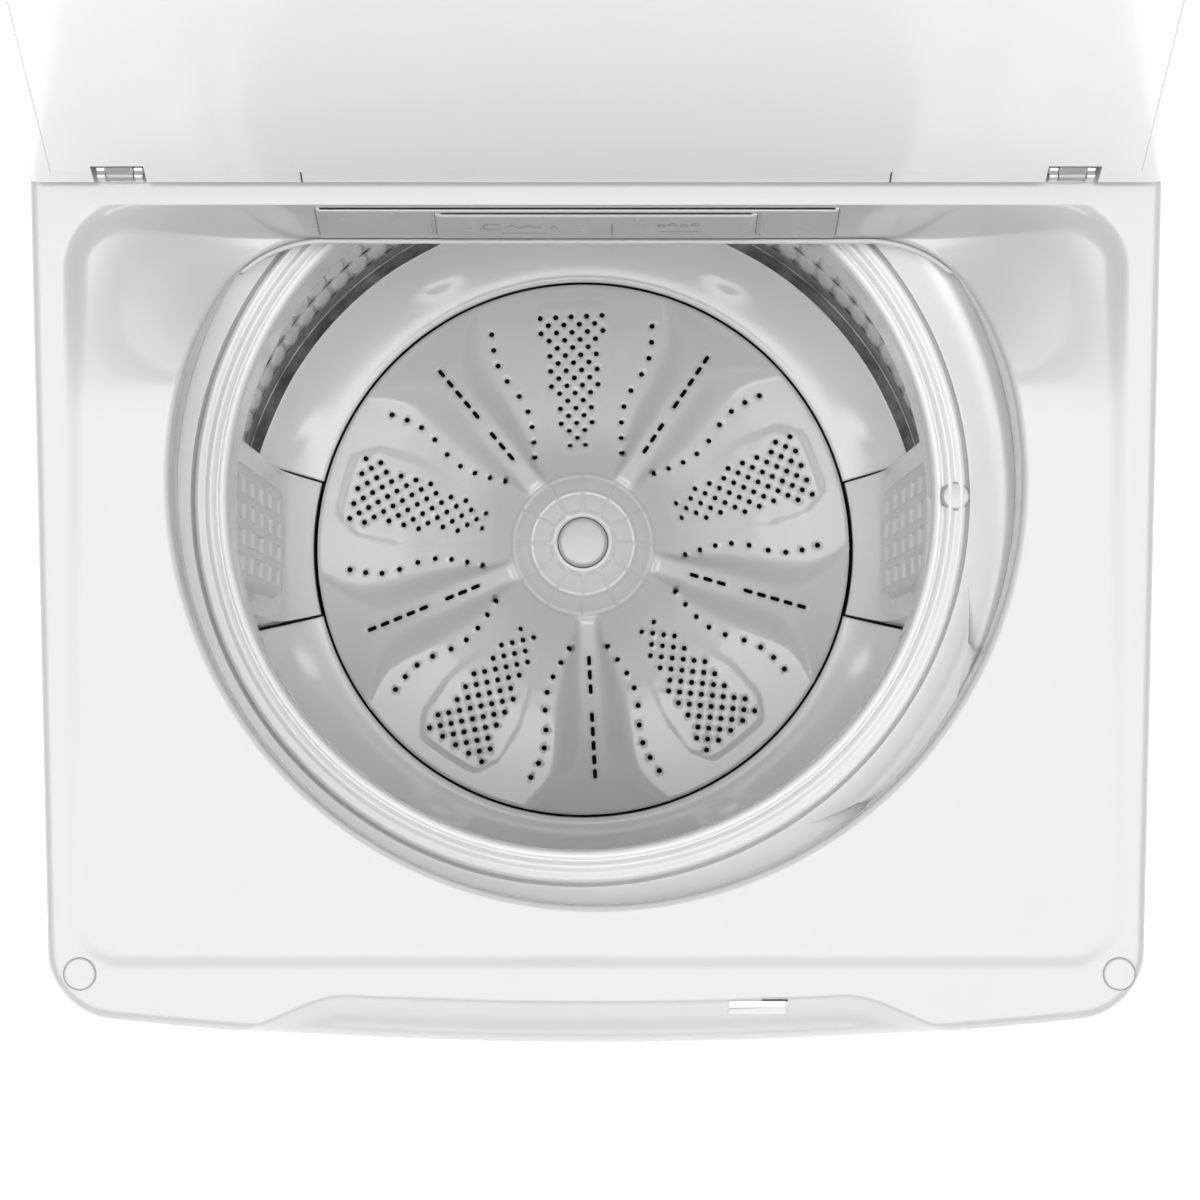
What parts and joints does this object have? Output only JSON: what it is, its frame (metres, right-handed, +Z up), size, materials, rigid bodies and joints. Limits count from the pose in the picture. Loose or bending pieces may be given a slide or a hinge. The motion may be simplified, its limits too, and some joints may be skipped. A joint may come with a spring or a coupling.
{
  "type": "top load washing machine",
  "caption": "Top load washing machine with its lid open: deck, dispenser drawer, suspended tub, perforated basket with balance ring and ribbed impeller.",
  "frame": {"origin": "on the floor, under the middle of the whole machine", "axes": "+Z up, +Y to the rear, +X to the right as seen from the front"},
  "size_m": [0.69, 0.7, 1.4659],
  "materials": {
    "white_plastic": "glossy moulded white",
    "white_steel": "smooth white enamel",
    "ring_plastic": "glossy moulded white",
    "basket_steel": "embossed bright stainless",
    "base_plastic": "glossy light grey white",
    "impeller_plastic": "glossy light grey",
    "filter_plastic": "satin white",
    "chrome": "polished",
    "zinc_steel": "zinc plated",
    "spring_steel": "oiled",
    "bearing_steel": "ground",
    "cast_alloy": "as cast",
    "black_plastic": "fine texture",
    "grey_plastic": "moulded",
    "black_rubber": "matt",
    "pale_rubber": "satin",
    "display_glass": "smoked",
    "board_green": "solder mask",
    "tub_plastic": "moulded"
  },
  "bodies": {
    "cabinet": {"top_deck": "white_plastic", "lid_bumpers": "pale_rubber", "lid_lock": "white_plastic", "front_panel": "white_steel", "side_panel_left": "white_steel", "side_panel_right": "white_steel", "rear_panel": "white_steel", "base_frame": "zinc_steel", "foot_studs": "zinc_steel", "foot_pads": "black_rubber", "suspension_hangers": "zinc_steel", "suspension_rods": "zinc_steel", "suspension_springs": "spring_steel", "drain_outlet": "black_plastic", "inlet_valve": "grey_plastic", "fill_hose": "black_rubber", "cord_gland": "black_plastic", "dispenser_housing": "white_plastic", "lid_hinge_brackets": "chrome", "lid_hinge_pins": "zinc_steel", "console_fascia": "white_plastic", "console_back_cover": "white_steel", "display_window": "display_glass", "control_board": "board_green", "level_sensor": "grey_plastic", "cabinet_screws": "zinc_steel"},
    "drawer": {"dispenser_drawer": "white_plastic", "softener_siphon": "filter_plastic"},
    "lid": {"lid_shell": "white_steel", "lid_inner_panel": "white_plastic", "lid_trims": "chrome", "lid_knuckles": "zinc_steel", "lid_strike": "zinc_steel"},
    "tub": {"outer_tub": "tub_plastic", "tub_ring": "ring_plastic", "bearing_housing": "cast_alloy", "tub_bearings": "bearing_steel", "drive_motor": "cast_alloy", "drive_belt": "black_rubber", "drain_pump": "black_plastic", "drain_hose": "grey_plastic"},
    "basket": {"basket_wall": "basket_steel", "basket_base": "base_plastic", "balance_ring": "ring_plastic", "ring_plug": "ring_plastic", "lint_columns": "base_plastic", "lint_filters": "filter_plastic", "basket_hub": "cast_alloy"},
    "impeller_drive": {"impeller": "impeller_plastic", "impeller_cap": "impeller_plastic", "impeller_bolt": "zinc_steel", "drive_shaft": "bearing_steel", "drive_pulley": "cast_alloy"},
    "motor_shaft": {"motor_rotor": "zinc_steel"},
    "knob": {"cycle_knob": "chrome"},
    "start_key": {"start_button": "grey_plastic"},
    "power_key": {"power_button": "grey_plastic"},
    "temperature_key": {"temperature_button": "grey_plastic"},
    "soil_key": {"soil_button": "grey_plastic"}
  },
  "joints": [
    {"name": "lid_hinge", "type": "hinge", "parent": "cabinet", "child": "lid", "pos_m": [0, 0.181, 0.961], "axis": [1, 0, 0], "range_deg": [0, 109.8]},
    {"name": "drawer_slide", "type": "slide", "parent": "cabinet", "child": "drawer", "axis": [0, -1, 0], "range_m": [0, 0.12]},
    {"name": "tub_suspension", "type": "slide", "parent": "cabinet", "child": "tub", "axis": [0, 0, 1], "range_m": [-0.015, 0.005], "stiffness_N_per_m": 20000, "springref_m": 0.01346, "deforming": ["suspension_springs"]},
    {"name": "basket_spin", "type": "hinge", "parent": "tub", "child": "basket", "pos_m": [-0.01, -0.01, 0.6], "axis": [0, 0, 1], "continuous": true},
    {"name": "impeller_turn", "type": "hinge", "parent": "tub", "child": "impeller_drive", "pos_m": [-0.01, -0.01, 0.4], "axis": [0, 0, 1], "continuous": true},
    {"name": "motor_spin", "type": "hinge", "parent": "tub", "child": "motor_shaft", "pos_m": [0.17, -0.01, 0.25], "axis": [0, 0, 1], "continuous": true},
    {"name": "knob_turn", "type": "hinge", "parent": "cabinet", "child": "knob", "pos_m": [0, 0.25021, 1.03191], "axis": [0, -0.9524, 0.3048], "continuous": true},
    {"name": "start_press", "type": "slide", "parent": "cabinet", "child": "start_key", "axis": [0, 0.9524, -0.3048], "range_m": [0, 0.002], "stiffness_N_per_m": 600, "springref_m": -0.0005},
    {"name": "power_press", "type": "slide", "parent": "cabinet", "child": "power_key", "axis": [0, 0.9524, -0.3048], "range_m": [0, 0.002], "stiffness_N_per_m": 600, "springref_m": -0.0005},
    {"name": "temperature_press", "type": "slide", "parent": "cabinet", "child": "temperature_key", "axis": [0, 0.9524, -0.3048], "range_m": [0, 0.002], "stiffness_N_per_m": 600, "springref_m": -0.0005},
    {"name": "soil_press", "type": "slide", "parent": "cabinet", "child": "soil_key", "axis": [0, 0.9524, -0.3048], "range_m": [0, 0.002], "stiffness_N_per_m": 600, "springref_m": -0.0005}
  ],
  "couplings": [
    {"joint": "motor_spin", "follows": "impeller_turn", "ratio": 4}
  ]
}
